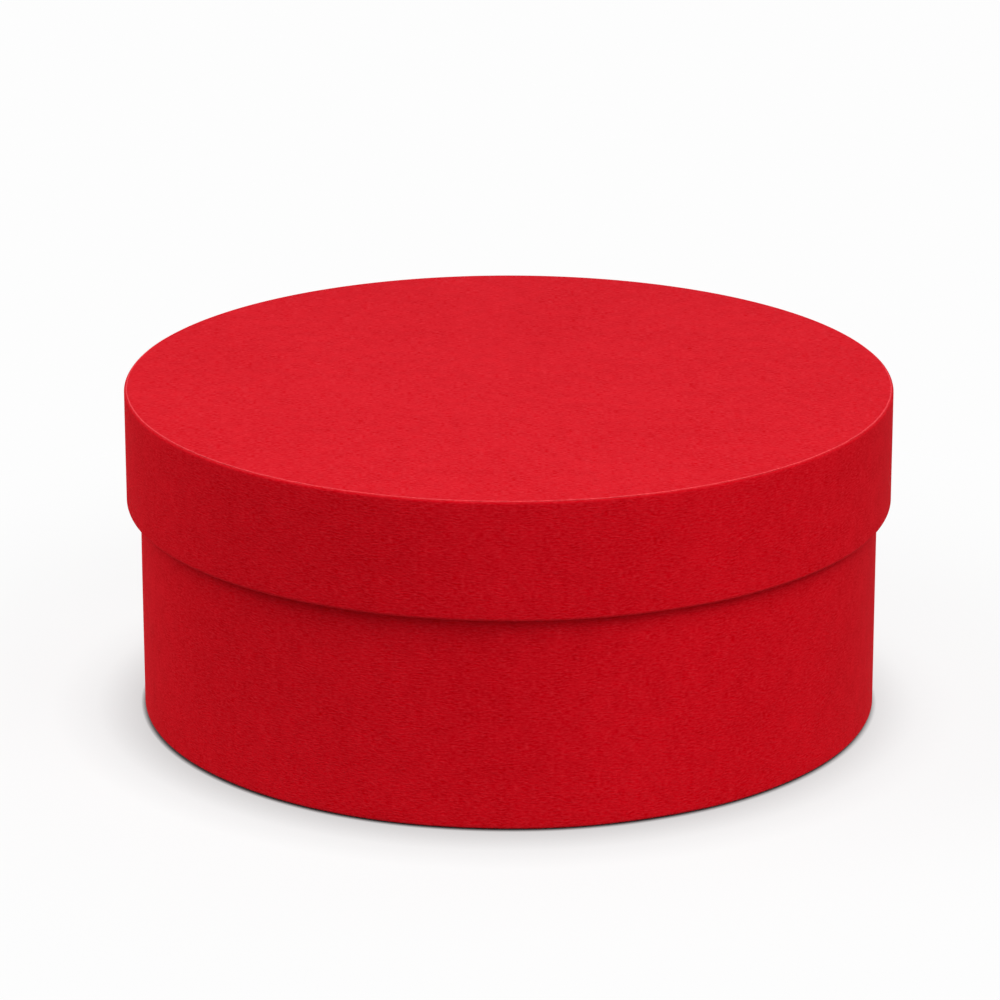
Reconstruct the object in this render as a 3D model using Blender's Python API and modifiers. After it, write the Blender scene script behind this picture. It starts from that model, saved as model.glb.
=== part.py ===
"""Round flower box: a rigid card base and the slip-over lid that closes it, both covered in red paper.

The two shells are made alike, one upside down over the other. Each is a strip of grey card rolled into a
ring with its ends butted and taped, a card disc set inside one end, a cover paper turned in over both
edges of the ring, a paper disc over the closed end, and a lining on the wall and the disc inside.
Every shell is built in its own frame, with its closed end's outer face at z = 0 and its mouth above.
Metres, +Z up, the box standing on z = 0 with its axis on Z, its front towards -Y and its seams at +Y.
"""

import math
from dataclasses import dataclass

import bmesh
import bpy
from mathutils import Matrix, Vector

MM = 0.001

# Overall sizes
LID_DIAMETER = 200 * MM
CLOSED_HEIGHT = 87 * MM
LID_SKIRT_HEIGHT = 31 * MM

# Sheets, and the glue line between one sheet and the next
BOARD_THICKNESS = 1.5 * MM
PAPER_THICKNESS = 0.3 * MM
TAPE_THICKNESS = 0.3 * MM
GLUE_GAP = 0.3 * MM

# How the lid sits: round the base with a running gap, and down on its rim
LID_CLEARANCE = 0.9 * MM
LID_SEAT_GAP = 0.3 * MM

# Cover papers: what is turned in, how tightly it bends, and how far the end discs stay inside the rim
END_TURN_IN = 12 * MM
LID_MOUTH_TURN_IN = 12 * MM
BASE_MOUTH_TURN_IN = 15 * MM
FOLD_RADIUS = 0.7 * MM
TOP_PAPER_INSET = 0.5 * MM
BOTTOM_PAPER_INSET = 2 * MM

# The ring's butt joint and its tape
BUTT_JOINT_GAP = 0.3 * MM
TAPE_WIDTH = 25 * MM
TAPE_END_MARGIN = 3 * MM

# How far a cutter runs past what it cuts
CUT_OVERRUN = 1 * MM

# Counts and angles
SEGMENTS = 72
TAPE_SEGMENTS = 4
FOLD_STEPS = 4
FULL_TURN = 2 * math.pi
SEAM_ANGLE = math.pi / 2
SHARP_ANGLE = math.radians(35)

# Finishes: colour, roughness, metallic
RED_PAPER = ("red_cover_paper", (0.70, 0.006, 0.014), 0.8, 0.0)
GREYBOARD = ("greyboard", (0.33, 0.31, 0.28), 0.9, 0.0)
LINING_PAPER = ("lining_paper", (0.80, 0.78, 0.73), 0.8, 0.0)
KRAFT_TAPE = ("kraft_tape", (0.42, 0.26, 0.13), 0.7, 0.0)


@dataclass(frozen=True)
class Shell:
    """The sizes of one shell, from its outer radius and height and the stack of sheets in its wall and end."""

    radius: float
    height: float
    mouth_turn_in: float
    end_paper_inset: float

    @property
    def board_outer(self):
        return self.radius - PAPER_THICKNESS - GLUE_GAP

    @property
    def board_inner(self):
        return self.board_outer - BOARD_THICKNESS

    @property
    def skin_outer(self):
        """Outer radius of the sheets inside the wall: the turned-in mouth and the lining below it."""
        return self.board_inner - GLUE_GAP

    @property
    def inner_radius(self):
        return self.skin_outer - PAPER_THICKNESS

    @property
    def turned_end(self):
        """Height of the outer face of the margin turned in over the closed end."""
        return PAPER_THICKNESS + GLUE_GAP

    @property
    def board_bottom(self):
        return self.turned_end + PAPER_THICKNESS + GLUE_GAP

    @property
    def board_top(self):
        return self.height - PAPER_THICKNESS - GLUE_GAP

    @property
    def end_lining_bottom(self):
        return self.board_bottom + BOARD_THICKNESS + GLUE_GAP

    @property
    def inside_end(self):
        """Height of the closed end's inner face, where the hollow begins."""
        return self.end_lining_bottom + PAPER_THICKNESS

    @property
    def turn_in_edge(self):
        return self.height - self.mouth_turn_in


def clear_scene():
    for obj in list(bpy.data.objects):
        bpy.data.objects.remove(obj)


def new_collection(name):
    collection = bpy.data.collections.new(name)
    bpy.context.scene.collection.children.link(collection)
    return collection


def new_material(name, colour, roughness, metallic):
    material = bpy.data.materials.new(name)
    material.use_nodes = True
    principled = material.node_tree.nodes["Principled BSDF"]
    principled.inputs["Base Color"].default_value = (*colour, 1)
    principled.inputs["Roughness"].default_value = roughness
    principled.inputs["Metallic"].default_value = metallic
    return material


def new_object(name, mesh, collection):
    obj = bpy.data.objects.new(name, mesh)
    collection.objects.link(obj)
    return obj


def profile_mesh(name, points, closed):
    """Points (radius, z) in the XZ plane, joined by edges."""
    mesh = bpy.data.meshes.new(name)
    edges = [(i, i + 1) for i in range(len(points) - 1)]
    if closed:
        edges.append((len(points) - 1, 0))
    mesh.from_pydata([(radius, 0, z) for radius, z in points], edges, [])
    return mesh


def turn(obj, angle=FULL_TURN, steps=SEGMENTS):
    screw = obj.modifiers.new("Turn", "SCREW")
    screw.axis = "Z"
    screw.angle = angle
    screw.steps = steps
    screw.render_steps = steps
    screw.use_merge_vertices = True
    screw.merge_threshold = GLUE_GAP / SEGMENTS


def thicken(obj, thickness):
    """Gives a turned surface its thickness on the side away from its face normals."""
    solidify = obj.modifiers.new("Sheet", "SOLIDIFY")
    solidify.thickness = thickness
    solidify.offset = -1
    solidify.use_even_offset = True


def turned_solid(name, outline, collection):
    """A ring whose closed outline (radius, z) runs down its outer side."""
    obj = new_object(name, profile_mesh(name, outline, closed=True), collection)
    turn(obj)
    return obj


def turned_sheet(name, path, thickness, collection):
    """A sheet whose outer face follows the path (radius, z), which runs down the outer side."""
    obj = new_object(name, profile_mesh(name, path, closed=False), collection)
    turn(obj)
    thicken(obj, thickness)
    return obj


def seam_patch(name, radius, thickness, width, low, high, collection):
    """A strip bent to a radius, its outer face there, centred on the seam at the back."""
    obj = new_object(name, profile_mesh(name, [(radius, high), (radius, low)], closed=False), collection)
    angle = width / radius
    turn(obj, angle, TAPE_SEGMENTS)
    thicken(obj, thickness)
    obj.rotation_euler.z = SEAM_ANGLE - angle / 2
    return obj


def disc(name, radius, low, thickness, collection):
    mesh = bpy.data.meshes.new(name)
    bm = bmesh.new()
    bmesh.ops.create_cone(
        bm, cap_ends=True, segments=SEGMENTS, radius1=radius, radius2=radius, depth=thickness
    )
    bm.to_mesh(mesh)
    bm.free()
    obj = new_object(name, mesh, collection)
    obj.location.z = low + thickness / 2
    return obj


def block(name, size, centre, collection):
    mesh = bpy.data.meshes.new(name)
    bm = bmesh.new()
    bmesh.ops.create_cube(bm, size=1, matrix=Matrix.Diagonal((*size, 1)))
    bm.to_mesh(mesh)
    bm.free()
    obj = new_object(name, mesh, collection)
    obj.location = centre
    return obj


def cut(obj, cutter):
    """Cuts obj by cutter, which stays in the scene as a wire guide."""
    cutter.hide_render = True
    cutter.display_type = "WIRE"
    boolean = obj.modifiers.new(cutter.name, "BOOLEAN")
    boolean.operation = "DIFFERENCE"
    boolean.solver = "EXACT"
    boolean.object = cutter


def rounded_path(corners, radius):
    """The path through the corners (radius, z), with an arc of the given radius at each one between the ends."""
    points = [Vector(corners[0])]
    for before, corner, after in zip(corners, corners[1:], corners[2:]):
        corner = Vector(corner)
        to_before = (Vector(before) - corner).normalized()
        to_after = (Vector(after) - corner).normalized()
        half = to_before.angle(to_after) / 2
        centre = corner + (to_before + to_after).normalized() * radius / math.sin(half)
        first = corner + to_before * radius / math.tan(half) - centre
        turn_angle = -first.angle_signed(corner + to_after * radius / math.tan(half) - centre)
        for step in range(FOLD_STEPS + 1):
            points.append(centre + Matrix.Rotation(turn_angle * step / FOLD_STEPS, 2) @ first)
    points.append(Vector(corners[-1]))
    return points


def wall_board(shell, name, collection, cutters):
    """The card ring, slit at its butt joint and pared back where the tape lies."""
    obj = turned_solid(
        name,
        [
            (shell.board_outer, shell.board_top),
            (shell.board_outer, shell.board_bottom),
            (shell.board_inner, shell.board_bottom),
            (shell.board_inner, shell.board_top),
        ],
        collection,
    )
    slit = block(
        name + "_butt_joint",
        (BUTT_JOINT_GAP, BOARD_THICKNESS + 2 * CUT_OVERRUN, shell.height),
        (0, (shell.board_outer + shell.board_inner) / 2, shell.height / 2),
        cutters,
    )
    low, high = tape_span(shell)
    recess = seam_patch(
        name + "_tape_recess",
        shell.board_outer + CUT_OVERRUN,
        CUT_OVERRUN + TAPE_THICKNESS + GLUE_GAP,
        TAPE_WIDTH + 2 * GLUE_GAP,
        low - GLUE_GAP,
        high + GLUE_GAP,
        cutters,
    )
    cut(obj, slit)
    cut(obj, recess)
    return [obj, slit, recess]


def tape_span(shell):
    return shell.board_bottom + TAPE_END_MARGIN, shell.board_top - TAPE_END_MARGIN


def joint_tape(shell, name, collection):
    """The gummed strip over the butt joint, its outer face level with the card beside it."""
    low, high = tape_span(shell)
    return seam_patch(name, shell.board_outer, TAPE_THICKNESS, TAPE_WIDTH, low, high, collection)


def end_board(shell, name, collection):
    return disc(name, shell.board_inner - GLUE_GAP, shell.board_bottom, BOARD_THICKNESS, collection)


def cover_paper(shell, name, collection):
    """The paper round the wall: up inside the mouth, over the rim, down the outside and in over the end."""
    corners = [
        (shell.inner_radius, shell.turn_in_edge),
        (shell.inner_radius, shell.height),
        (shell.radius, shell.height),
        (shell.radius, shell.turned_end),
        (shell.radius - END_TURN_IN, shell.turned_end),
    ]
    path = rounded_path(corners, FOLD_RADIUS + PAPER_THICKNESS)
    return turned_sheet(name, path, PAPER_THICKNESS, collection)


def end_paper(shell, name, collection):
    return disc(name, shell.radius - shell.end_paper_inset, 0, PAPER_THICKNESS, collection)


def wall_lining(shell, name, collection):
    """The lining strip, from the end lining up to the edge of the turned-in mouth."""
    low = shell.inside_end + GLUE_GAP
    high = shell.turn_in_edge - GLUE_GAP
    return turned_solid(
        name,
        [
            (shell.skin_outer, high),
            (shell.skin_outer, low),
            (shell.inner_radius, low),
            (shell.inner_radius, high),
        ],
        collection,
    )


def end_lining(shell, name, collection):
    return disc(
        name, shell.inner_radius - GLUE_GAP, shell.end_lining_bottom, PAPER_THICKNESS, collection
    )


def body_frame(name, height, turned_over, collection):
    """The empty that carries one shell, on the box's axis."""
    empty = bpy.data.objects.new(name, None)
    empty.location.z = height
    empty.rotation_euler.y = math.pi if turned_over else 0
    collection.objects.link(empty)
    return empty


def place(parts, frame, material):
    for obj in parts:
        obj.parent = frame
        obj.data.materials.append(material)


def apply_modifiers(objects):
    """Replaces each object's mesh by its finished one and shades it smooth between sharp edges."""
    bpy.context.view_layer.update()
    graph = bpy.context.evaluated_depsgraph_get()
    finished = [bpy.data.meshes.new_from_object(obj.evaluated_get(graph)) for obj in objects]
    for obj, mesh in zip(objects, finished):
        obj.modifiers.clear()
        obj.data = mesh
        mesh.shade_smooth()
        mesh.set_sharp_from_angle(angle=SHARP_ANGLE)


def build_shell(shell, names, frame, finishes, parts, cutters):
    """Makes the seven sheets of one shell. names gives each its node name."""
    red, grey, pale, kraft = finishes
    ring = wall_board(shell, names["wall_board"], parts, cutters)
    place(ring, frame, grey)
    place([end_board(shell, names["end_board"], parts)], frame, grey)
    place([joint_tape(shell, names["joint_tape"], parts)], frame, kraft)
    place([cover_paper(shell, names["cover_paper"], parts)], frame, red)
    place([end_paper(shell, names["end_paper"], parts)], frame, red)
    place([wall_lining(shell, names["wall_lining"], parts)], frame, pale)
    place([end_lining(shell, names["end_lining"], parts)], frame, pale)


def main():
    clear_scene()
    parts = new_collection("round_flower_box")
    cutters = new_collection("cutters")
    finishes = [new_material(*finish) for finish in (RED_PAPER, GREYBOARD, LINING_PAPER, KRAFT_TAPE)]

    lid = Shell(LID_DIAMETER / 2, LID_SKIRT_HEIGHT, LID_MOUTH_TURN_IN, TOP_PAPER_INSET)
    base = Shell(
        lid.inner_radius - LID_CLEARANCE,
        CLOSED_HEIGHT - lid.inside_end - LID_SEAT_GAP,
        BASE_MOUTH_TURN_IN,
        BOTTOM_PAPER_INSET,
    )
    base_names = {
        "wall_board": "base_wall_board",
        "joint_tape": "base_joint_tape",
        "end_board": "base_floor_board",
        "cover_paper": "base_cover_paper",
        "end_paper": "base_bottom_paper",
        "wall_lining": "base_wall_lining",
        "end_lining": "base_floor_lining",
    }
    lid_names = {
        "wall_board": "lid_wall_board",
        "joint_tape": "lid_joint_tape",
        "end_board": "lid_top_board",
        "cover_paper": "lid_skirt_paper",
        "end_paper": "lid_top_paper",
        "wall_lining": "lid_wall_lining",
        "end_lining": "lid_top_lining",
    }
    base_frame = body_frame("base_frame", 0, False, parts)
    lid_frame = body_frame("lid_lift_axis", CLOSED_HEIGHT, True, parts)
    build_shell(base, base_names, base_frame, finishes, parts, cutters)
    build_shell(lid, lid_names, lid_frame, finishes, parts, cutters)
    apply_modifiers([obj for obj in parts.objects if obj.type == "MESH"])


main()
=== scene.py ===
"""A round flower box: two shells of grey card covered in red grained paper, one slipped over the other.

Lengths are in metres. The box stands on z = 0 with its axis on the z axis. The camera is in front of it,
on the -Y side, and looks a little downwards.
"""

import math

import bpy
import numpy as np
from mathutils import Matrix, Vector


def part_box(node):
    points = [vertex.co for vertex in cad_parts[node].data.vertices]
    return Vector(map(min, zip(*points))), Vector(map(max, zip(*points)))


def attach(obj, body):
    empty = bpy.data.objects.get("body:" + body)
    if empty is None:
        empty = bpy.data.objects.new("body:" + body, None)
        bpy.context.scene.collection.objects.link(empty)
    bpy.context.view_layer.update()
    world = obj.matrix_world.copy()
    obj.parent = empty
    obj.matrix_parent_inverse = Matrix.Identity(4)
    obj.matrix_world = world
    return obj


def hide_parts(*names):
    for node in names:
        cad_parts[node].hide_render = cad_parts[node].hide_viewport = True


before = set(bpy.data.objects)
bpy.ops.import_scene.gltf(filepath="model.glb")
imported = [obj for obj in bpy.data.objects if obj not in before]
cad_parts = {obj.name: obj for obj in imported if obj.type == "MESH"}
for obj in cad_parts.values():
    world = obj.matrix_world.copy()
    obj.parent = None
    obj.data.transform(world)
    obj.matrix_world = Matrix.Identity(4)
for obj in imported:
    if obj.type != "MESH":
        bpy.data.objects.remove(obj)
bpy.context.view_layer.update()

MM = 0.001
QUARTER_TURN = math.pi / 2
FULL_TURN = 2 * math.pi

# The thickness of the paper, and the least room left between sheets that lie on each other
PAPER = 0.3 * MM
TOUCH = 0.01 * MM

# The sheets of paper

LAID_FLAT = "laid_flat"
ON_AXIS = 1e-9
FOLD_RADIUS = 1.0 * MM
FOLD_STEPS = 9

# How far apart a sheet's points lie along its path: on a cover, on a lining, under the floor, where a
# lining laps a cover, and where a cover steps down at the foot. The last is for the way round the box.
ROW_STEP = 3.0 * MM
LINING_STEP = 4 * MM
BOTTOM_STEP = 6 * MM
LAP_STEP = 0.3 * MM
RAMP_STEP = 0.1 * MM
COLUMN_STEP = 1.25 * MM

# A strip's end laps its own start by SEAM_LAP, and the start comes up from under the lap over SEAM_RAMP
SEAM_LAP = 12.0 * MM
SEAM_RAMP = 7.0 * MM
SEAM_ROOM = 0.02 * MM

# How far a wall lining laps the cover's turned-in edge
LINING_LAP = 3.0 * MM

# How many waves make an unevenness, and their shortest and longest wavelength as a share of its length
WAVES = 7
SHORTEST_WAVE = 0.7
LONGEST_WAVE = 1.6

# The slow swells of each sheet: how high, over what length, and how far in from the outside they change.
# A cover swells on the wall's face and not in its margins, and a disc lies flat at its edge.
COVER_SWELL = 0.05 * MM
COVER_SWELL_LENGTH = 45 * MM
COVER_SWELL_INSET = (0.2 * MM, 2.0 * MM)
LINING_SWELL = 0.04 * MM
LINING_SWELL_LENGTH = 25 * MM
TOP_SWELL = 0.06 * MM
LINING_DISC_SWELL = 0.08 * MM
DISC_SWELL_LENGTH = 55 * MM
DISC_SWELL_INSET = (0.5 * MM, 12 * MM)

# The pleats of a turned-in margin, how far in from the wall's face they start and are fully deep, and
# how far their phase wanders, in radians
PLEAT_LENGTH = 6.3 * MM
PLEAT_DEPTH = 0.05 * MM
PLEAT_INSET = (1.5 * MM, 3.2 * MM)
PLEAT_WANDER = 4
PLEAT_WANDER_LENGTH = 30 * MM

# The waves of a hand-cut edge, and how far in they have died away
RAGGED_LENGTH = 5 * MM
RAGGED_INSET = 1.0 * MM


def extent(node):
    """A round node's outer radius and its lowest and highest height."""
    low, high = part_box(node)
    return high.x, low.z, high.z


def run(start, end, step=ROW_STEP):
    """Points on the straight line from start to end, about step apart, with end left out."""
    start = np.array(start, float)
    end = np.array(end, float)
    count = max(1, round(np.linalg.norm(end - start) / step))
    share = np.arange(count)[:, None] / count
    return start + (end - start) * share


def runs(corners, *steps):
    """A (radius, height) path of straight lines from corner to corner, each with its own step."""
    lines = [run(start, end, step) for start, end, step in zip(corners[:-1], corners[1:], steps)]
    return np.concatenate([*lines, corners[-1:]])


def folded(corners, rubs_and_highlights):
    """A (radius, height) path through the corners, and how much each of its points is rubbed lighter,
    partly as wear and partly as a painted highlight.

    Each square corner becomes a quarter circle that touches both runs: its centre lies one radius back
    along the run that arrives and one radius on along the run that leaves. The rubbing, partly wear and
    partly a painted highlight on the fold, is a half sine over that arc, times the corner's own share.
    """
    corners = np.array(corners, float)
    ways = np.diff(corners, axis=0)
    ways = ways / np.linalg.norm(ways, axis=1, keepdims=True)
    turn = np.linspace(0, QUARTER_TURN, FOLD_STEPS + 1)[:, None]
    pieces = []
    marks = []
    start = corners[0]
    for corner, arrives, leaves, rub_and_highlight in zip(corners[1:-1], ways[:-1], ways[1:], rubs_and_highlights):
        centre = corner + FOLD_RADIUS * (leaves - arrives)
        arc = centre + FOLD_RADIUS * (arrives * np.sin(turn) - leaves * np.cos(turn))
        straight = run(start, arc[0])
        pieces += [straight, arc[:-1]]
        marks += [np.zeros(len(straight)), rub_and_highlight * np.sin(2 * turn[:-1, 0])]
        start = arc[-1]
    straight = run(start, corners[-1])
    pieces += [straight, corners[-1:]]
    marks += [np.zeros(len(straight) + 1)]
    return np.concatenate(pieces), np.concatenate(marks)


def unevenness(seed, along, across, length):
    """A slow unevenness between about -1 and 1: twice the mean of plane sine waves of roughly one length.

    Each wave is sin(2 pi (along cos t + across sin t) / wavelength + phase), with its direction t,
    wavelength and phase drawn from the seed.
    """
    draw = np.random.default_rng(seed)
    heading = draw.uniform(0, math.pi, WAVES)
    wavelength = length * draw.uniform(SHORTEST_WAVE, LONGEST_WAVE, WAVES)
    phase = draw.uniform(0, FULL_TURN, WAVES)
    place = along[..., None] * np.cos(heading) + across[..., None] * np.sin(heading)
    return np.sin(FULL_TURN * place / wavelength + phase).mean(axis=-1) * 2


def ease(value, low, high):
    """0 below low, 1 above high, and the smooth cubic 3t^2 - 2t^3 between them."""
    t = np.clip((value - low) / (high - low), 0, 1)
    return t * t * (3 - 2 * t)


def grid_quads(index):
    """Quads over a grid of point numbers, facing the side where columns run right and rows run up."""
    corners = [index[:-1, :-1], index[:-1, 1:], index[1:, 1:], index[1:, :-1]]
    return np.stack(corners, axis=-1).reshape(-1, 4)


def band_quads(first, second):
    """A band of quads between two rows of point numbers."""
    return np.stack([first[:-1], second[:-1], second[1:], first[1:]], axis=-1)


def carried(path, way, lift, slide, angles):
    """The path carried round the z axis, as the points (r cos a, r sin a, h).

    Each (r, h) is first moved by slide along the path's own way and by lift along its normal, the way
    turned a quarter to the right.
    """
    reach = path[:, None, 0] + way[:, None, 0] * slide + way[:, None, 1] * lift
    height = path[:, None, 1] + way[:, None, 1] * slide - way[:, None, 0] * lift
    return np.stack([reach * np.cos(angles), reach * np.sin(angles), height], axis=-1)


def sheet(name, path, fold, angles, lift, body, node, material, thickness=PAPER, slide=0.0):
    """One sheet of paper as a closed mesh that stands for a CAD node.

    Its face is the path in the (radius, height) plane carried round the z axis by the angles, with each
    point raised along the face's normal by lift and moved along the path by slide. The face looks to the
    right of the path's direction, so a path that climbs faces outwards. The back is the same surface
    moved the thickness the other way, and bands of quads close the free edges. Where the angles make a
    full turn the last column is the first, and where the path meets the axis that row is one point, with
    triangles round it. The UV map is the sheet laid flat, in metres: arc length round and along the path,
    or plan x and y where the sheet is a disc.
    """
    rows, columns = len(path), len(angles)
    joined = math.isclose(angles[-1] - angles[0], FULL_TURN)
    poles = np.flatnonzero(path[:, 0] < ON_AXIS)
    way = np.gradient(path, axis=0)
    way = way / np.linalg.norm(way, axis=1, keepdims=True)
    face = carried(path, way, lift, slide, angles)
    back = carried(path, way, lift - thickness, slide, angles)
    points = np.stack([face, back]).reshape(-1, 3)

    number = np.arange(2 * rows * columns).reshape(2, rows, columns)
    front, rear = number
    skins = [grid_quads(front), grid_quads(rear)[:, ::-1]]
    rims = []
    if path[0, 0] > ON_AXIS:
        rims.append(band_quads(front[0], rear[0]))
    if path[-1, 0] > ON_AXIS:
        rims.append(band_quads(rear[-1], front[-1]))
    if not joined:
        rims += [band_quads(rear[:, 0], front[:, 0]), band_quads(front[:, -1], rear[:, -1])]
    quads = np.concatenate(skins + rims)
    is_rim = np.arange(len(quads)) >= sum(map(len, skins))

    # Points in one place share a number, and a quad with one side on the axis is left with three
    same = number.copy()
    if joined:
        same[:, :, -1] = same[:, :, 0]
    for pole in poles:
        same[:, pole] = same[:, pole, :1]
    same = same.reshape(-1)
    shared = same[quads]
    first_pair = shared[:, 0] == shared[:, 1]
    second_pair = shared[:, 2] == shared[:, 3]
    whole = ~(first_pair | second_pair)
    triangles = np.concatenate([quads[first_pair][:, [0, 2, 3]], quads[second_pair][:, [0, 1, 2]]])
    corners = np.concatenate([quads[whole].reshape(-1), triangles.reshape(-1)])
    used, compact = np.unique(same, return_inverse=True)
    polygons = compact[quads[whole]].tolist() + compact[triangles].tolist()

    mesh = bpy.data.meshes.new(name)
    mesh.from_pydata(points[used].tolist(), [], polygons)
    if len(poles):
        flat = points[:, :2]
    else:
        length = np.concatenate([[0], np.cumsum(np.linalg.norm(np.diff(path, axis=0), axis=1))])
        round_it = np.broadcast_to((angles - angles[0]) * path[:, 0].max(), (2, rows, columns))
        along_it = np.broadcast_to(length[:, None], (2, rows, columns))
        flat = np.stack([round_it, along_it], axis=-1).reshape(-1, 2)
    mesh.uv_layers.new(name=LAID_FLAT).data.foreach_set("uv", flat[corners].reshape(-1))
    marks = np.broadcast_to(fold[:, None], (2, rows, columns)).reshape(-1)
    mesh.attributes.new("fold", "FLOAT", "POINT").data.foreach_set("value", marks[used])
    cut = np.concatenate([is_rim[whole], np.zeros(len(triangles), bool)])
    mesh.attributes.new("cut", "FLOAT", "FACE").data.foreach_set("value", cut.astype(float))
    mesh.polygons.foreach_set("use_smooth", ~cut)
    mesh.materials.append(material)
    mesh.update()

    piece = bpy.data.objects.new(name, mesh)
    bpy.context.collection.objects.link(piece)
    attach(piece, body)
    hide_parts(node)


def lapped_angles(radius, seam):
    """Angles of a strip that goes once round and laps its own start. Its loose end lies at the seam."""
    lap = SEAM_LAP / radius
    turn = FULL_TURN + lap
    count = round(turn * radius / COLUMN_STEP)
    return seam - lap + np.linspace(0, turn, count + 1)


def under_the_lap(angles, radius):
    """The lift of the strip's first end: one thickness down under the lap, easing to nothing past it."""
    done = (angles - angles[0]) * radius
    return -(PAPER + SEAM_ROOM) * (1 - ease(done, SEAM_LAP, SEAM_LAP + SEAM_RAMP))


def cover_strip(name, path, fold, seam, seed, body, node, material):
    """The strip of red paper round a shell, turned in over the mouth and over the other end.

    Its lift is the seam's step, a slow unevenness, and small pleats in the turned-in parts, where the
    paper has to go round a smaller circle: a sine along the strip with a wandering phase, deeper further
    in from the wall.
    """
    radius = path[:, 0].max()
    angles = lapped_angles(radius, seam)
    along = np.broadcast_to((angles - angles[0]) * radius, (len(path), len(angles)))
    inward = np.broadcast_to(radius - path[:, 0, None], along.shape)
    height = np.broadcast_to(path[:, 1, None], along.shape)
    wander = unevenness(seed + 1, along, height, PLEAT_WANDER_LENGTH)
    pleat = np.sin(FULL_TURN * along / PLEAT_LENGTH + PLEAT_WANDER * wander)
    depth = PLEAT_DEPTH * ease(inward, *PLEAT_INSET)
    on_the_wall = 1 - ease(inward, *COVER_SWELL_INSET)
    swell = COVER_SWELL * unevenness(seed, along, height, COVER_SWELL_LENGTH) * on_the_wall
    lift = under_the_lap(angles, radius)[None] - depth * (1 + pleat) / 2 + swell
    sheet(name, path, fold, angles, lift, body, node, material)


def lining_strip(name, path, seam, seed, body, node, material):
    """The strip of pale paper round the inside of a wall, its face towards the axis.

    Its lift is the seam's step and a slow unevenness.
    """
    radius = path[:, 0].max()
    angles = lapped_angles(radius, seam)
    along = np.broadcast_to((angles - angles[0]) * radius, (len(path), len(angles)))
    height = np.broadcast_to(path[:, 1, None], along.shape)
    swell = LINING_SWELL * unevenness(seed, along, height, LINING_SWELL_LENGTH)
    lift = under_the_lap(angles, radius)[None] + swell
    sheet(name, path, np.zeros(len(path)), angles, lift, body, node, material)


def full_turn(radius, step):
    """Even angles of one full turn, about step apart at the radius, the first repeated at the end."""
    return np.linspace(0, FULL_TURN, round(FULL_TURN * radius / step) + 1)


def disc(name, path, seed, swell, body, node, material, fold=None, thickness=PAPER, ragged=0.0):
    """A round sheet. Its lift is a slow unevenness of plan x and y, swell high, that fades at the edge.

    ragged is how far the cut edge wanders: points near the edge slide along the path by that length times
    an unevenness of short waves, less and less over the first millimetre in.
    """
    radius = path[:, 0].max()
    angles = full_turn(radius, COLUMN_STEP if ragged else 2 * COLUMN_STEP)
    x = path[:, 0, None] * np.cos(angles)
    y = path[:, 0, None] * np.sin(angles)
    inward = radius - path[:, 0, None]
    lift = swell * unevenness(seed, x, y, DISC_SWELL_LENGTH) * ease(inward, *DISC_SWELL_INSET)
    slide = ragged * unevenness(seed + 1, x, y, RAGGED_LENGTH) * (1 - ease(inward, 0.0, RAGGED_INSET))
    if fold is None:
        fold = np.zeros(len(path))
    sheet(name, path, fold, angles, lift, body, node, material, thickness, slide)


# The finishes

# The numbers of the Mix node's sockets for colours
MIX_SHARE = 0
MIX_FIRST = 6
MIX_SECOND = 7
MIX_RESULT = 2

SHEEN_ROUGHNESS = 0.5


class Value:
    """One output of a material's nodes. Sums, differences, products and quotients add Math nodes."""

    def __init__(self, finish, node, output=0):
        self.finish = finish
        self.source = node
        self.socket = node.outputs[output]

    def __getitem__(self, output):
        return Value(self.finish, self.source, output)

    def __add__(self, other):
        return self.finish.math("ADD", self, other)

    def __sub__(self, other):
        return self.finish.math("SUBTRACT", self, other)

    def __rsub__(self, other):
        return self.finish.math("SUBTRACT", other, self)

    def __mul__(self, other):
        return self.finish.math("MULTIPLY", self, other)

    def __truediv__(self, other):
        return self.finish.math("DIVIDE", self, other)

    def __rtruediv__(self, other):
        return self.finish.math("DIVIDE", other, self)

    __radd__ = __add__
    __rmul__ = __mul__


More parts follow.
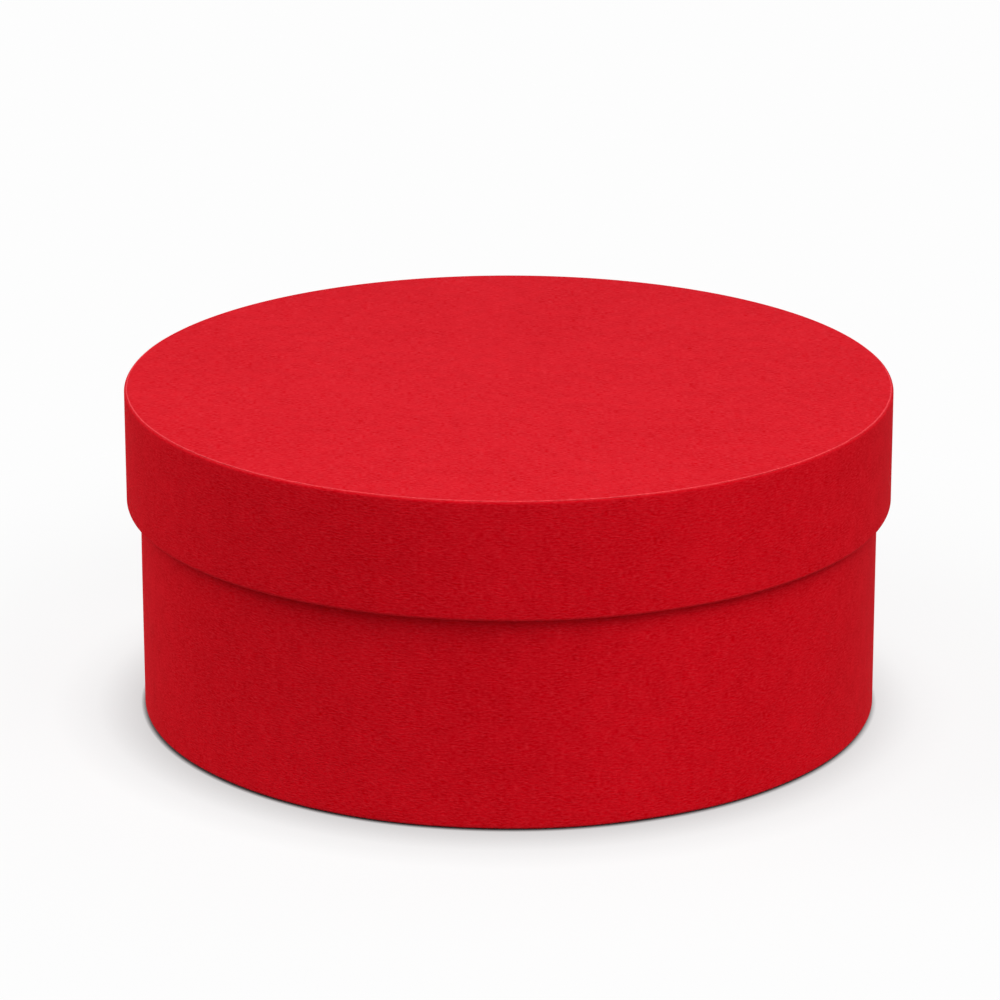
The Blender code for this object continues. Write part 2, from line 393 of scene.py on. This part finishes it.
class Finish:
    """A material or world under construction."""

    def __init__(self, owner):
        self.owner = owner
        owner.use_nodes = True
        self.tree = owner.node_tree

    def fill(self, node, inputs):
        """Sets or links the node's inputs, each by its name or number."""
        for key, value in inputs.items():
            if isinstance(value, Value):
                self.tree.links.new(value.socket, node.inputs[key])
            else:
                node.inputs[key].default_value = value

    def node(self, kind, settings=None, inputs=None, output=0):
        """Adds a node: its settings first, then its inputs. Returns one of its outputs."""
        made = self.tree.nodes.new(kind)
        for key, value in (settings or {}).items():
            setattr(made, key, value)
        self.fill(made, inputs or {})
        return Value(self, made, output)

    def math(self, operation, first, second):
        """One operation on two numbers or values."""
        return self.node("ShaderNodeMath", {"operation": operation}, {0: first, 1: second})

    def point(self, x, y, z=0.0):
        """A place or a direction from its three parts."""
        return self.node("ShaderNodeCombineXYZ", inputs={"X": x, "Y": y, "Z": z})

    def flat_place(self):
        """The place on the sheet laid flat, and its two parts, along the sheet and across it."""
        flat = self.node("ShaderNodeUVMap", {"uv_map": LAID_FLAT})
        parts = self.node("ShaderNodeSeparateXYZ", inputs={"Vector": flat})
        return flat, parts["X"], parts["Y"]

    def solid_place(self):
        """The place in the piece's own coordinates, which are the box's."""
        return self.node("ShaderNodeTexCoord", output="Object")

    def marked(self, name):
        """One of the marks that a sheet's mesh carries, from 0 to 1."""
        return self.node("ShaderNodeAttribute", {"attribute_name": name}, output="Fac")

    def noise(self, place, cell, detail=1.0, roughness=0.5, dimensions="2D"):
        """Smooth noise around 0.5, with cells of the given size in metres."""
        return self.node(
            "ShaderNodeTexNoise",
            {"noise_dimensions": dimensions},
            {"Vector": place, "Scale": 1 / cell, "Detail": detail, "Roughness": roughness},
        )

    def between(self, value, low, high):
        """A smooth step from 0 at low to 1 at high."""
        return self.node(
            "ShaderNodeMapRange",
            {"interpolation_type": "SMOOTHSTEP"},
            {"Value": value, "From Min": low, "From Max": high},
        )

    def blend(self, share, first, second, **settings):
        """The first colour at share 0 and the second at share 1."""
        inputs = {MIX_SHARE: share, MIX_FIRST: first, MIX_SECOND: second}
        return self.node("ShaderNodeMix", {"data_type": "RGBA", **settings}, inputs, MIX_RESULT)

    def towards(self, share, first, second):
        """The first colour moved towards the second by the share, or away from it by a negative share."""
        return self.blend(share, first, second, clamp_factor=False, clamp_result=True)

    def bump(self, height, depth, strength=1.0):
        """The normal of a surface raised by the height times the depth in metres."""
        inputs = {"Strength": strength, "Distance": depth, "Height": height}
        return self.node("ShaderNodeBump", inputs=inputs)

    def matt(self, level):
        """A matt surface that throws back the level's share of the light."""
        return self.node("ShaderNodeBsdfDiffuse", inputs={"Color": (level, level, level, 1)})

    def layered(self, share, first, second):
        """The first shader at share 0 and the second at share 1."""
        return self.node("ShaderNodeMixShader", inputs={0: share, 1: first, 2: second})


def paint(name, roughness, specular, sheen=0.0):
    """A new material with its shader's constants. Its nodes then vary the roughness about that level."""
    finish = Finish(bpy.data.materials.new(name))
    shader = finish.tree.nodes["Principled BSDF"]
    constants = {
        "Roughness": roughness,
        "Specular IOR Level": specular,
        "Sheen Weight": sheen,
        "Sheen Roughness": SHEEN_ROUGHNESS,
    }
    finish.fill(shader, constants)
    return finish, shader


# The red paper's creases are of two kinds: the height of each, and its length as a multiple of that
SHORT_CREASE = 0.36 * MM
SHORT_STRETCH = 2.5
LONG_CREASE = 0.34 * MM
LONG_STRETCH = 6.0
CREASE_SHARE = 0.6

# The rows of creases bend up and down by up to half of BEND, over this distance
BEND = 0.75 * MM
BEND_CELL = 4.0 * MM

# The share of the grain that is everywhere, and what the strongest patches add to it
PATCH_CELL = 4.5 * MM
PATCHES = (0.3, 0.7)
GRAIN_EVERYWHERE = 0.74
GRAIN_IN_PATCHES = 0.36

# The fine tooth on the grain, and the depth in metres that the height of both is multiplied by
TOOTH_CELL = 0.3 * MM
TOOTH_SHARE = 0.3
GRAIN_DEPTH = 0.075 * MM

# The small and the large clouds of the dye, about its middle tone
MIDDLE_TONE = 0.5
CLOUD_CELL = 5 * MM
DRIFT_CELL = 32 * MM
DRIFT_SHARE = 0.6

# A rubbed fold is made lighter, partly by wear and partly as a painted highlight on its rounding: by the
# first share all over, and by the second as well where its grain is raised
WORN_AND_HIGHLIT_ALL_OVER = 0.55
WORN_AND_HIGHLIT_ON_GRAIN = 0.45
RAISED_GRAIN = (-0.2, 0.25)
WORN_AND_HIGHLIT_RED = (0.95, 0.080, 0.100, 1)
CUT_SHARE = 0.6
CUT_RED = (0.80, 0.05, 0.06, 1)

# The roughness at the grain's middle height, and how much the grain changes it
RED_ROUGHNESS = 0.8
RED_ROUGHER = 0.16


def red_grained_paper(name, deep, bright, painted_glint):
    """Red covering paper, dyed through, with an embossed grain of short wavy creases along the sheet.

    The grain is the sum of two noises whose cells are longer along the sheet than across it. Its rows are
    bent by a slower noise, and its depth comes and goes in patches. Slower noise still clouds the dye
    between the deep and the bright red. Over the dye the grain paints a highlight: the colour moves
    towards the lighter glint where the grain is raised, and away from it, as painted shade, where it is
    pressed in.
    Cut edges are lighter. Folds are rubbed lighter, partly as wear and partly as a painted highlight on
    the fold's rounding, most of all along the lid's rim.
    """
    finish, shader = paint(name, RED_ROUGHNESS, specular=0.015, sheen=0.007)
    flat, along, across = finish.flat_place()
    bent = across + (finish.noise(flat, BEND_CELL, detail=0.0) - 0.5) * BEND
    short = finish.noise(finish.point(along / SHORT_STRETCH, bent), SHORT_CREASE, detail=0.0)
    long = finish.noise(finish.point(along / LONG_STRETCH, bent), LONG_CREASE, detail=0.0)
    creases = short * CREASE_SHARE + long * CREASE_SHARE - CREASE_SHARE
    patch = finish.between(finish.noise(flat, PATCH_CELL), *PATCHES)
    grain = creases * (GRAIN_EVERYWHERE + patch * GRAIN_IN_PATCHES)
    tooth = finish.noise(flat, TOOTH_CELL) - 0.5
    cloud = finish.noise(flat, CLOUD_CELL, detail=2.0) - 0.5
    drift = finish.noise(flat, DRIFT_CELL) - 0.5
    tone = MIDDLE_TONE + cloud + drift * DRIFT_SHARE
    # Raised grain is painted lighter as a highlight, and pressed-in grain darker as painted shade
    dye_and_painted_glint = finish.towards(grain, finish.blend(tone, deep, bright), painted_glint)
    raised = finish.between(creases, *RAISED_GRAIN)
    # Folds are painted lighter, partly as wear and partly as a highlight on their rounding
    rubbed_and_highlit = finish.marked("fold") * (WORN_AND_HIGHLIT_ALL_OVER + raised * WORN_AND_HIGHLIT_ON_GRAIN)
    worn_and_highlit = finish.blend(rubbed_and_highlit, dye_and_painted_glint, WORN_AND_HIGHLIT_RED)
    colour = finish.blend(finish.marked("cut") * CUT_SHARE, worn_and_highlit, CUT_RED)
    roughness = RED_ROUGHNESS + grain * RED_ROUGHER
    bump = finish.bump(grain + tooth * TOOTH_SHARE, GRAIN_DEPTH)
    finish.fill(shader, {"Base Color": colour, "Roughness": roughness, "Normal": bump})
    return finish.owner


# The lining's fibres run both ways, and each is this many times as long as it is wide
FIBRE_WIDTH = 0.25 * MM
FIBRE_STRETCH = 6
FIBRE_DEPTH = 0.03 * MM

# Its tone is made up of these shares of fibres and cloud, and runs from shade to light over this range
FIBRE_TONE = 0.6
LINING_CLOUD_TONE = 0.4
LINING_CLOUD_CELL = 6 * MM
LINING_TONES = (0.35, 0.65)
LINING_SHADE = (0.80, 0.77, 0.70, 1)
LINING_LIGHT = (0.89, 0.87, 0.81, 1)
LINING_ROUGHNESS = 0.8
LINING_ROUGHER = 0.12


def pale_lining_paper():
    """Warm white uncoated paper with a faint fibre pattern in two crossing directions."""
    finish, shader = paint("pale_lining_paper", roughness=0.85, specular=0.2)
    flat, along, across = finish.flat_place()
    one_way = finish.noise(finish.point(along / FIBRE_STRETCH, across), FIBRE_WIDTH, detail=2)
    other_way = finish.noise(finish.point(along, across / FIBRE_STRETCH), FIBRE_WIDTH, detail=2)
    fibres = (one_way + other_way) * 0.5
    cloud = finish.noise(flat, LINING_CLOUD_CELL, detail=3.0)
    tone = finish.between(fibres * FIBRE_TONE + cloud * LINING_CLOUD_TONE, *LINING_TONES)
    colour = finish.blend(tone, LINING_SHADE, LINING_LIGHT)
    roughness = LINING_ROUGHNESS + fibres * LINING_ROUGHER
    bump = finish.bump(fibres, FIBRE_DEPTH)
    finish.fill(shader, {"Base Color": colour, "Roughness": roughness, "Normal": bump})
    return finish.owner


# The card: cloudy pulp, pale fibres and dark specks, the last two with the range of noise they show in
PULP_CELL = 3 * MM
DARK_PULP = (0.24, 0.22, 0.19, 1)
PALE_PULP = (0.40, 0.37, 0.32, 1)
PULP_FIBRE_CELL = 0.9 * MM
PULP_FIBRES = (0.55, 0.7)
PULP_FIBRE_SHARE = 0.5
PULP_FIBRE_DEPTH = 0.05 * MM
PULP_FIBRE = (0.55, 0.52, 0.46, 1)
SPECK_CELL = 0.5 * MM
SPECKS = (0.66, 0.74)
SPECK = (0.08, 0.07, 0.07, 1)
BOARD_ROUGHNESS = 0.84
BOARD_ROUGHER = 0.1


def grey_board():
    """Recycled grey card: a cloudy grey pulp with pale fibres and dark specks."""
    finish, shader = paint("grey_board", roughness=0.9, specular=0.15)
    place = finish.solid_place()
    cloud = finish.noise(place, PULP_CELL, detail=3, dimensions="3D")
    speck = finish.between(finish.noise(place, SPECK_CELL, dimensions="3D"), *SPECKS)
    matted = finish.noise(place, PULP_FIBRE_CELL, detail=4, roughness=0.7, dimensions="3D")
    fibre = finish.between(matted, *PULP_FIBRES)
    pulp = finish.blend(cloud, DARK_PULP, PALE_PULP)
    pale = finish.blend(fibre * PULP_FIBRE_SHARE, pulp, PULP_FIBRE)
    colour = finish.blend(speck, pale, SPECK)
    roughness = BOARD_ROUGHNESS + cloud * BOARD_ROUGHER
    bump = finish.bump(fibre, PULP_FIBRE_DEPTH, strength=0.6)
    finish.fill(shader, {"Base Color": colour, "Roughness": roughness, "Normal": bump})
    return finish.owner


# The tape's upright streaks, drawn long by shrinking the height, and the tone that they and clouds give
STREAK_CELL = 0.5 * MM
STREAK_SCALE = (1.0, 1.0, 0.12)
STREAK_DEPTH = 0.03 * MM
STREAK_TONE = 0.7
TAPE_CLOUD_TONE = 0.3
TAPE_CLOUD_CELL = 4 * MM
TAPE_TONES = (0.35, 0.65)
DARK_BROWN = (0.27, 0.155, 0.075, 1)
PALE_BROWN = (0.42, 0.26, 0.14, 1)
TAPE_ROUGHNESS = 0.6
TAPE_ROUGHER = 0.2


def brown_gummed_tape():
    """Brown gummed paper with upright fibre streaks."""
    finish, shader = paint("brown_gummed_tape", roughness=0.7, specular=0.3)
    place = finish.solid_place()
    upright = finish.node(
        "ShaderNodeMapping",
        {"vector_type": "POINT"},
        {"Vector": place, "Scale": STREAK_SCALE},
    )
    streak = finish.noise(upright, STREAK_CELL, detail=3, roughness=0.6, dimensions="3D")
    cloud = finish.noise(place, TAPE_CLOUD_CELL, detail=2, dimensions="3D")
    tone = finish.between(streak * STREAK_TONE + cloud * TAPE_CLOUD_TONE, *TAPE_TONES)
    colour = finish.blend(tone, DARK_BROWN, PALE_BROWN)
    roughness = TAPE_ROUGHNESS + streak * TAPE_ROUGHER
    bump = finish.bump(streak, STREAK_DEPTH, strength=0.6)
    finish.fill(shader, {"Base Color": colour, "Roughness": roughness, "Normal": bump})
    return finish.owner


red_paper = red_grained_paper(
    "red_grained_paper",
    deep=(0.66, 0.0043, 0.0116, 1),
    bright=(0.77, 0.0069, 0.0164, 1),
    painted_glint=(0.858, 0.0272, 0.0425, 1),
)
# The lid's top gets a paler, pinker copy of the red paper: painted light for the brighter light that
# falls on the top
red_paper_painted_lit_top = red_grained_paper(
    "red_grained_paper_painted_lit_top",
    deep=(0.675, 0.0094, 0.0192, 1),
    bright=(0.765, 0.0154, 0.0272, 1),
    painted_glint=(0.836, 0.0584, 0.0804, 1),
)
lining_paper = pale_lining_paper()
board = grey_board()
tape = brown_gummed_tape()

# The base

# How far in a margin reaches, how high the fold at the foot stands, and how wide the drop to it is
TURN_IN_DEPTH = 12 * MM
FOOT_GAP = 0.12 * MM
FOOT_RAMP = 0.8 * MM

# How much each fold is rubbed lighter: at the foot, on the rim, just inside a mouth, at the lid's lower
# edge. On the rim and the lid's lower edge it is mostly a painted highlight.
FOOT_RUB = 0.1
RIM_RUB_AND_HIGHLIGHT = 0.35
INSIDE_RUB = 0.25
LOWER_EDGE_RUB_AND_HIGHLIGHT = 0.05

# Where the strips' seams lie. The back of the box is at 90 degrees.
BASE_COVER_SEAM = math.radians(96)
BASE_LINING_SEAM = math.radians(101)
LID_COVER_SEAM = math.radians(83)
LID_LINING_SEAM = math.radians(78)

bottom_radius, bottom_low, bottom_high = extent("base_bottom_paper")
base_radius, _, base_rim = extent("base_cover_paper")
base_inner, base_lining_low, base_lining_high = extent("base_wall_lining")
base_inner -= PAPER

# Under the floor the cover's margin lies on the bottom disc, and past it drops towards the table
margin_height = bottom_high + TOUCH
ramp_start = bottom_radius + 2 * TOUCH
margin = run((base_radius - TURN_IN_DEPTH, margin_height), (ramp_start, margin_height))
ramp = run((ramp_start, margin_height), (ramp_start + FOOT_RAMP, margin_height), RAMP_STEP)
ramp[:, 1] -= (margin_height - FOOT_GAP) * ease(ramp[:, 0], ramp_start, ramp_start + FOOT_RAMP)
up_the_wall, rubs_and_highlights = folded(
    [
        (ramp_start + FOOT_RAMP, FOOT_GAP),
        (base_radius, FOOT_GAP),
        (base_radius, base_rim),
        (base_inner, base_rim),
        (base_inner, base_lining_high + PAPER),
    ],
    (FOOT_RUB, RIM_RUB_AND_HIGHLIGHT, INSIDE_RUB),
)
cover_strip(
    "base_cover_paper_sheet",
    np.concatenate([margin, ramp, up_the_wall]),
    fold=np.concatenate([np.zeros(len(margin) + len(ramp)), rubs_and_highlights]),
    seam=BASE_COVER_SEAM,
    seed=11,
    body="base",
    node="base_cover_paper",
    material=red_paper,
)

disc(
    "base_bottom_paper_sheet",
    runs([(0, bottom_low), (bottom_radius, bottom_low)], BOTTOM_STEP),
    seed=12,
    swell=0.0,
    body="base",
    node="base_bottom_paper",
    material=red_paper,
)

# The lining laps the cover's turned-in edge, and below it slants back to the card
base_lining_path = runs(
    [
        (base_inner - PAPER, base_lining_high + LINING_LAP),
        (base_inner - PAPER, base_lining_high + PAPER),
        (base_inner, base_lining_high - 2 * PAPER),
        (base_inner, base_lining_low - PAPER),
    ],
    ROW_STEP,
    LAP_STEP,
    LINING_STEP,
)
lining_strip(
    "base_wall_lining_sheet",
    base_lining_path,
    seam=BASE_LINING_SEAM,
    seed=13,
    body="base",
    node="base_wall_lining",
    material=lining_paper,
)

floor_radius, _, floor_high = extent("base_floor_lining")
disc(
    "base_floor_lining_sheet",
    runs([(floor_radius, floor_high), (0, floor_high)], LINING_STEP),
    seed=14,
    swell=LINING_DISC_SWELL,
    body="base",
    node="base_floor_lining",
    material=lining_paper,
)

# The lid

lid_radius, lid_mouth, _ = extent("lid_skirt_paper")
_, top_low, top_high = extent("lid_top_paper")
lid_inner, lid_lining_low, lid_lining_high = extent("lid_wall_lining")
lid_inner -= PAPER

# The rim is a quarter circle. Its upper part is the top sheet, which thins out to its cut edge there, and
# the skirt's paper fills what is left of the circle below and passes under the sheet.
RIM_RADIUS = 0.9 * MM
RIM_STEPS = 13
RIM_CUT = math.radians(27)
RIM_CUT_STEPS = 8
RIM_RAGGED = 0.06 * MM
RIM_THINNING = 8
rim_centre = np.array([lid_radius - RIM_RADIUS, top_high - RIM_RADIUS])

# Angles from upright, in radians. The skirt's rubbing, a painted highlight along the rim, grows from the
# first up to the cut, and the top sheet's from upright down to the second.
SKIRT_RUB_AND_HIGHLIGHT_START = 1.0
TOP_RUB_AND_HIGHLIGHT_FULL = 0.25


def rim_arc(from_upright, depth):
    """Points on the rim's circle at the angles from upright, each moved its depth towards the centre."""
    reach = RIM_RADIUS - depth
    return rim_centre + np.stack([reach * np.sin(from_upright), reach * np.cos(from_upright)], axis=1)


def under_the_top(from_upright):
    """How deep the skirt's paper lies in the rim: one sheet at the top, by cos^8 to nothing below."""
    return (PAPER + TOUCH) * np.cos(from_upright) ** RIM_THINNING


over_the_rim = np.linspace(QUARTER_TURN, 0, RIM_STEPS + 1)[1:]
skirt_path, skirt_rubs_and_highlights = folded(
    [
        (lid_inner, lid_lining_low - PAPER),
        (lid_inner, lid_mouth),
        (lid_radius, lid_mouth),
        (lid_radius, top_high - RIM_RADIUS),
    ],
    (INSIDE_RUB, LOWER_EDGE_RUB_AND_HIGHLIGHT),
)
# The skirt's arc up to the top sheet's edge is rubbed lighter, mostly as a painted highlight along the
# rim
skirt_arc = rim_arc(over_the_rim, under_the_top(over_the_rim))
skirt_arc_rubs_and_highlights = ease(-over_the_rim, -SKIRT_RUB_AND_HIGHLIGHT_START, -RIM_CUT) * RIM_RUB_AND_HIGHLIGHT
skirt_margin_start = (lid_radius - RIM_RADIUS, top_low - TOUCH)
skirt_margin_end = (lid_radius - TURN_IN_DEPTH, top_low - TOUCH)
skirt_margin = runs([skirt_margin_start, skirt_margin_end], ROW_STEP)[1:]
cover_strip(
    "lid_skirt_paper_sheet",
    np.concatenate([skirt_path, skirt_arc, skirt_margin]),
    fold=np.concatenate([skirt_rubs_and_highlights, skirt_arc_rubs_and_highlights, np.zeros(len(skirt_margin))]),
    seam=LID_COVER_SEAM,
    seed=21,
    body="lid",
    node="lid_skirt_paper",
    material=red_paper,
)

# The top sheet's edge over the rim is rubbed lighter, mostly as a painted highlight
top_turn = np.linspace(RIM_CUT, 0, RIM_CUT_STEPS + 1)
top_arc = rim_arc(top_turn, 0.0)
top_flat = runs([top_arc[-1], (0, top_high)], ROW_STEP)[1:]
# The top sheet takes the copy of the red paper that is painted lighter and pinker for the top's brighter
# light
disc(
    "lid_top_paper_sheet",
    np.concatenate([top_arc, top_flat]),
    seed=22,
    swell=TOP_SWELL,
    body="lid",
    node="lid_top_paper",
    material=red_paper_painted_lit_top,
    fold=np.concatenate([ease(top_turn, 0.0, TOP_RUB_AND_HIGHLIGHT_FULL), np.zeros(len(top_flat))]),
    thickness=np.concatenate([under_the_top(top_turn) - TOUCH, np.full(len(top_flat), PAPER)])[:, None],
    ragged=RIM_RAGGED,
)

# The lining slants over the skirt's turned-in edge, and laps it down to its own lower edge
lid_lining_path = runs(
    [
        (lid_inner, lid_lining_high + PAPER / 2),
        (lid_inner, lid_lining_low + 2 * PAPER),
        (lid_inner - PAPER, lid_lining_low - PAPER),
        (lid_inner - PAPER, lid_lining_low - LINING_LAP),
    ],
    LINING_STEP,
    LAP_STEP,
    ROW_STEP,
)
lining_strip(
    "lid_wall_lining_sheet",
    lid_lining_path,
    seam=LID_LINING_SEAM,
    seed=23,
    body="lid",
    node="lid_wall_lining",
    material=lining_paper,
)

ceiling_radius, ceiling_low, _ = extent("lid_top_lining")
disc(
    "lid_top_lining_sheet",
    runs([(0, ceiling_low), (ceiling_radius, ceiling_low)], LINING_STEP),
    seed=24,
    swell=LINING_DISC_SWELL,
    body="lid",
    node="lid_top_lining",
    material=lining_paper,
)

# The card and tape inside, which keep their CAD shapes

CARD_AND_TAPE = {
    "base_wall_board": board,
    "base_floor_board": board,
    "lid_wall_board": board,
    "lid_top_board": board,
    "base_joint_tape": tape,
    "lid_joint_tape": tape,
}
for name, material in CARD_AND_TAPE.items():
    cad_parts[name].data.materials.clear()
    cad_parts[name].data.materials.append(material)

# The floor, backdrop and lamps

# How bright the floor and the backdrop are where they are seen
WHITE = 0.983

# How much light comes back from below: from a table round the box, and from a dark floor past its edge
TABLE_BOUNCE = 0.45
FLOOR_BOUNCE = 0.08
TABLE_EDGE = (0.16, 0.34)

# The floor darkens where the box closes off the sky: towards the sky's brighter side out to a wide and
# a middle reach, and at the contact out to a short one, where CONTACT_DARK of open sky or less is black.
BRIGHTER_SIDE = (0.182, 0.465, 0.866)
WIDE_REACH = 25 * MM
WIDE_SHADE = 0.30
MIDDLE_REACH = 13.2 * MM
MIDDLE_SHADE = 0.33
CONTACT_SIDE = (0.250, 0.278, 0.927)
CONTACT_REACH = 1.4 * MM
CONTACT_DARK = 0.3
SKY_SAMPLES = 16

# Near the box the floor also shows this share of the lamps' own shadows, which fades out over this range
OWN_SHADOWS = 0.12
OWN_SHADOWS_EDGE = (0.13, 0.24)

# The floor lies just below the box, in rings from the first radius out to its reach
FLOOR_DROP = 0.02 * MM
FLOOR_START = 0.05
FLOOR_REACH = 30.0
FLOOR_RINGS = 24
FLOOR_SPOKES = 96

# The power of a lamp of level 1 that is one metre from what it lights
WATTS_AT_ONE_METRE = 4.0


def seen_directly(finish):
    """1 for a ray from the camera, a reflection or a transmission, and 0 for diffuse light."""
    path = finish.node("ShaderNodeLightPath")
    most = path["Is Camera Ray"]
    for kind in ("Is Glossy Ray", "Is Transmission Ray"):
        most = finish.math("MAXIMUM", most, path[kind])
    return most


def openness(finish, reach, side):
    """The share of the sky round the side's direction that nothing nearer than reach closes off."""
    facing = finish.point(*side)
    inputs = {"Distance": reach, "Normal": facing}
    return finish.node("ShaderNodeAmbientOcclusion", {"samples": SKY_SAMPLES}, inputs, "AO")


def plain_floor():
    """A plain white floor. Seen directly it is white, darkened where the box closes off the sky above it.

    Near the box a little of a matt white is mixed in, which takes the lamps' own shadows. Diffuse light
    meets the table and the dark floor past its edge instead, so that the box isn't lit too much from
    below.
    """
    finish = Finish(bpy.data.materials.new("plain_white_floor"))
    nodes = finish.tree.nodes
    nodes.remove(nodes["Principled BSDF"])
    wide = openness(finish, WIDE_REACH, BRIGHTER_SIDE)
    middle = openness(finish, MIDDLE_REACH, BRIGHTER_SIDE)
    contact = openness(finish, CONTACT_REACH, CONTACT_SIDE)
    soft = (1 - (1 - wide) * WIDE_SHADE) * (1 - (1 - middle) * MIDDLE_SHADE)
    hard = finish.math("MAXIMUM", (contact - CONTACT_DARK) / (1 - CONTACT_DARK), 0.0)
    white = finish.node("ShaderNodeEmission", inputs={"Color": (1, 1, 1, 1), "Strength": WHITE})
    dark = finish.node("ShaderNodeEmission", inputs={"Color": (0, 0, 0, 1), "Strength": 0.0})
    glow = finish.layered(soft * hard, dark, white)
    place = finish.solid_place()
    away = finish.node("ShaderNodeVectorMath", {"operation": "LENGTH"}, {0: place}, "Value")
    near = 1 - finish.between(away, *OWN_SHADOWS_EDGE)
    shown = finish.layered(near * OWN_SHADOWS, glow, finish.matt(WHITE))
    past_the_table = finish.between(away, *TABLE_EDGE)
    bounce = finish.layered(past_the_table, finish.matt(TABLE_BOUNCE), finish.matt(FLOOR_BOUNCE))
    both = finish.layered(seen_directly(finish), bounce, shown)
    finish.fill(nodes["Material Output"], {"Surface": both})
    return finish.owner


def floor_disc():
    """The floor: rings of points, each wider by a constant factor, closed at the centre by one face."""
    rings = FLOOR_START * (FLOOR_REACH / FLOOR_START) ** np.linspace(0, 1, FLOOR_RINGS)
    angles = np.linspace(0, FULL_TURN, FLOOR_SPOKES, endpoint=False)
    x = (rings[:, None] * np.cos(angles)).reshape(-1)
    y = (rings[:, None] * np.sin(angles)).reshape(-1)
    points = np.stack([x, y, np.full(len(x), -FLOOR_DROP)], axis=1)
    number = np.arange(len(x)).reshape(len(rings), len(angles))
    number = np.concatenate([number, number[:, :1]], axis=1)
    quads = grid_quads(number)[:, ::-1]
    mesh = bpy.data.meshes.new("floor")
    mesh.from_pydata(points.tolist(), [], [number[0, :-1].tolist(), *quads.tolist()])
    mesh.materials.append(plain_floor())
    ground = bpy.data.objects.new("floor", mesh)
    bpy.context.collection.objects.link(ground)


def softbox(name, place, aim, width, height, level):
    """A rectangular lamp at place, turned towards aim. Its power grows as the square of the distance."""
    data = bpy.data.lights.new(name, "AREA")
    data.shape = "RECTANGLE"
    data.size = width
    data.size_y = height
    data.energy = level * WATTS_AT_ONE_METRE * (place - aim).length_squared
    lamp = bpy.data.objects.new(name, data)
    lamp.location = place
    lamp.rotation_euler = (aim - place).to_track_quat("-Z", "Y").to_euler()
    lamp.visible_camera = False
    bpy.context.collection.objects.link(lamp)


def backdrop(strength):
    """The world: white where it is seen directly, and an even light of the strength otherwise."""
    world = bpy.data.worlds.new("studio")
    bpy.context.scene.world = world
    finish = Finish(world)
    nodes = finish.tree.nodes
    nodes.remove(nodes["Background"])
    white = finish.node("ShaderNodeBackground", inputs={"Color": (1, 1, 1, 1), "Strength": WHITE})
    even = finish.node("ShaderNodeBackground", inputs={"Color": (1, 1, 1, 1), "Strength": strength})
    both = finish.layered(seen_directly(finish), even, white)
    finish.fill(nodes["World Output"], {"Surface": both})


# Each lamp: where it is, its width and height, and how brightly it lights white paper that faces it
LAMPS = {
    "above_left": ((-0.70, 0.00, 0.90), 0.8, 0.8, 0.62),
    "left": ((-1.00, -0.10, 0.60), 0.6, 0.6, 0.68),
    "right": ((1.00, -0.10, 0.60), 0.6, 0.6, 0.12),
    "front": ((0.00, -1.00, 0.60), 0.6, 0.6, 0.40),
    "front_right": ((0.75, -0.75, 0.60), 0.6, 0.6, 0.47),
    "above_front": ((0.00, -0.55, 0.80), 0.5, 0.5, 0.16),
    "above_front_right": ((0.50, -0.50, 0.80), 0.5, 0.5, 0.76),
    "back_right": ((0.80, 0.80, 0.60), 0.7, 0.7, 0.62),
    "back_left": ((-0.80, 0.80, 0.60), 0.7, 0.7, 0.42),
}
EVEN_LIGHT = 0.075
LIT_POINT = Vector((0, 0, 0.05))

floor_disc()
backdrop(EVEN_LIGHT)
for name, (place, width, height, level) in LAMPS.items():
    softbox(name, Vector(place), LIT_POINT, width, height, level)

# The camera

# How far the camera looks down, how far it is from the box's centre, and where beside that it aims
VIEW_DOWN = math.radians(18.92)
VIEW_DISTANCE = 1.316
BOX_CENTRE = Vector((0, 0, 43.5 * MM))
AIM_RIGHT = -2.29 * MM
AIM_UP = 10.0 * MM
LENS_IN_MM = 180
SENSOR_IN_MM = 36
CLIP_NEAR = 0.01
CLIP_FAR = 100

backwards = Vector((0, -math.cos(VIEW_DOWN), math.sin(VIEW_DOWN)))
upwards = Vector((0, math.sin(VIEW_DOWN), math.cos(VIEW_DOWN)))
eye = BOX_CENTRE + VIEW_DISTANCE * backwards
aim = BOX_CENTRE + Vector((AIM_RIGHT, 0, 0)) + AIM_UP * upwards
camera_data = bpy.data.cameras.new("camera")
camera_data.lens = LENS_IN_MM
camera_data.sensor_width = SENSOR_IN_MM
camera_data.clip_start = CLIP_NEAR
camera_data.clip_end = CLIP_FAR
camera = bpy.data.objects.new("camera", camera_data)
camera.location = eye
camera.rotation_euler = (aim - eye).to_track_quat("-Z", "Y").to_euler()
bpy.context.collection.objects.link(camera)
bpy.context.scene.camera = camera
bpy.context.scene.view_settings.view_transform = "Standard"
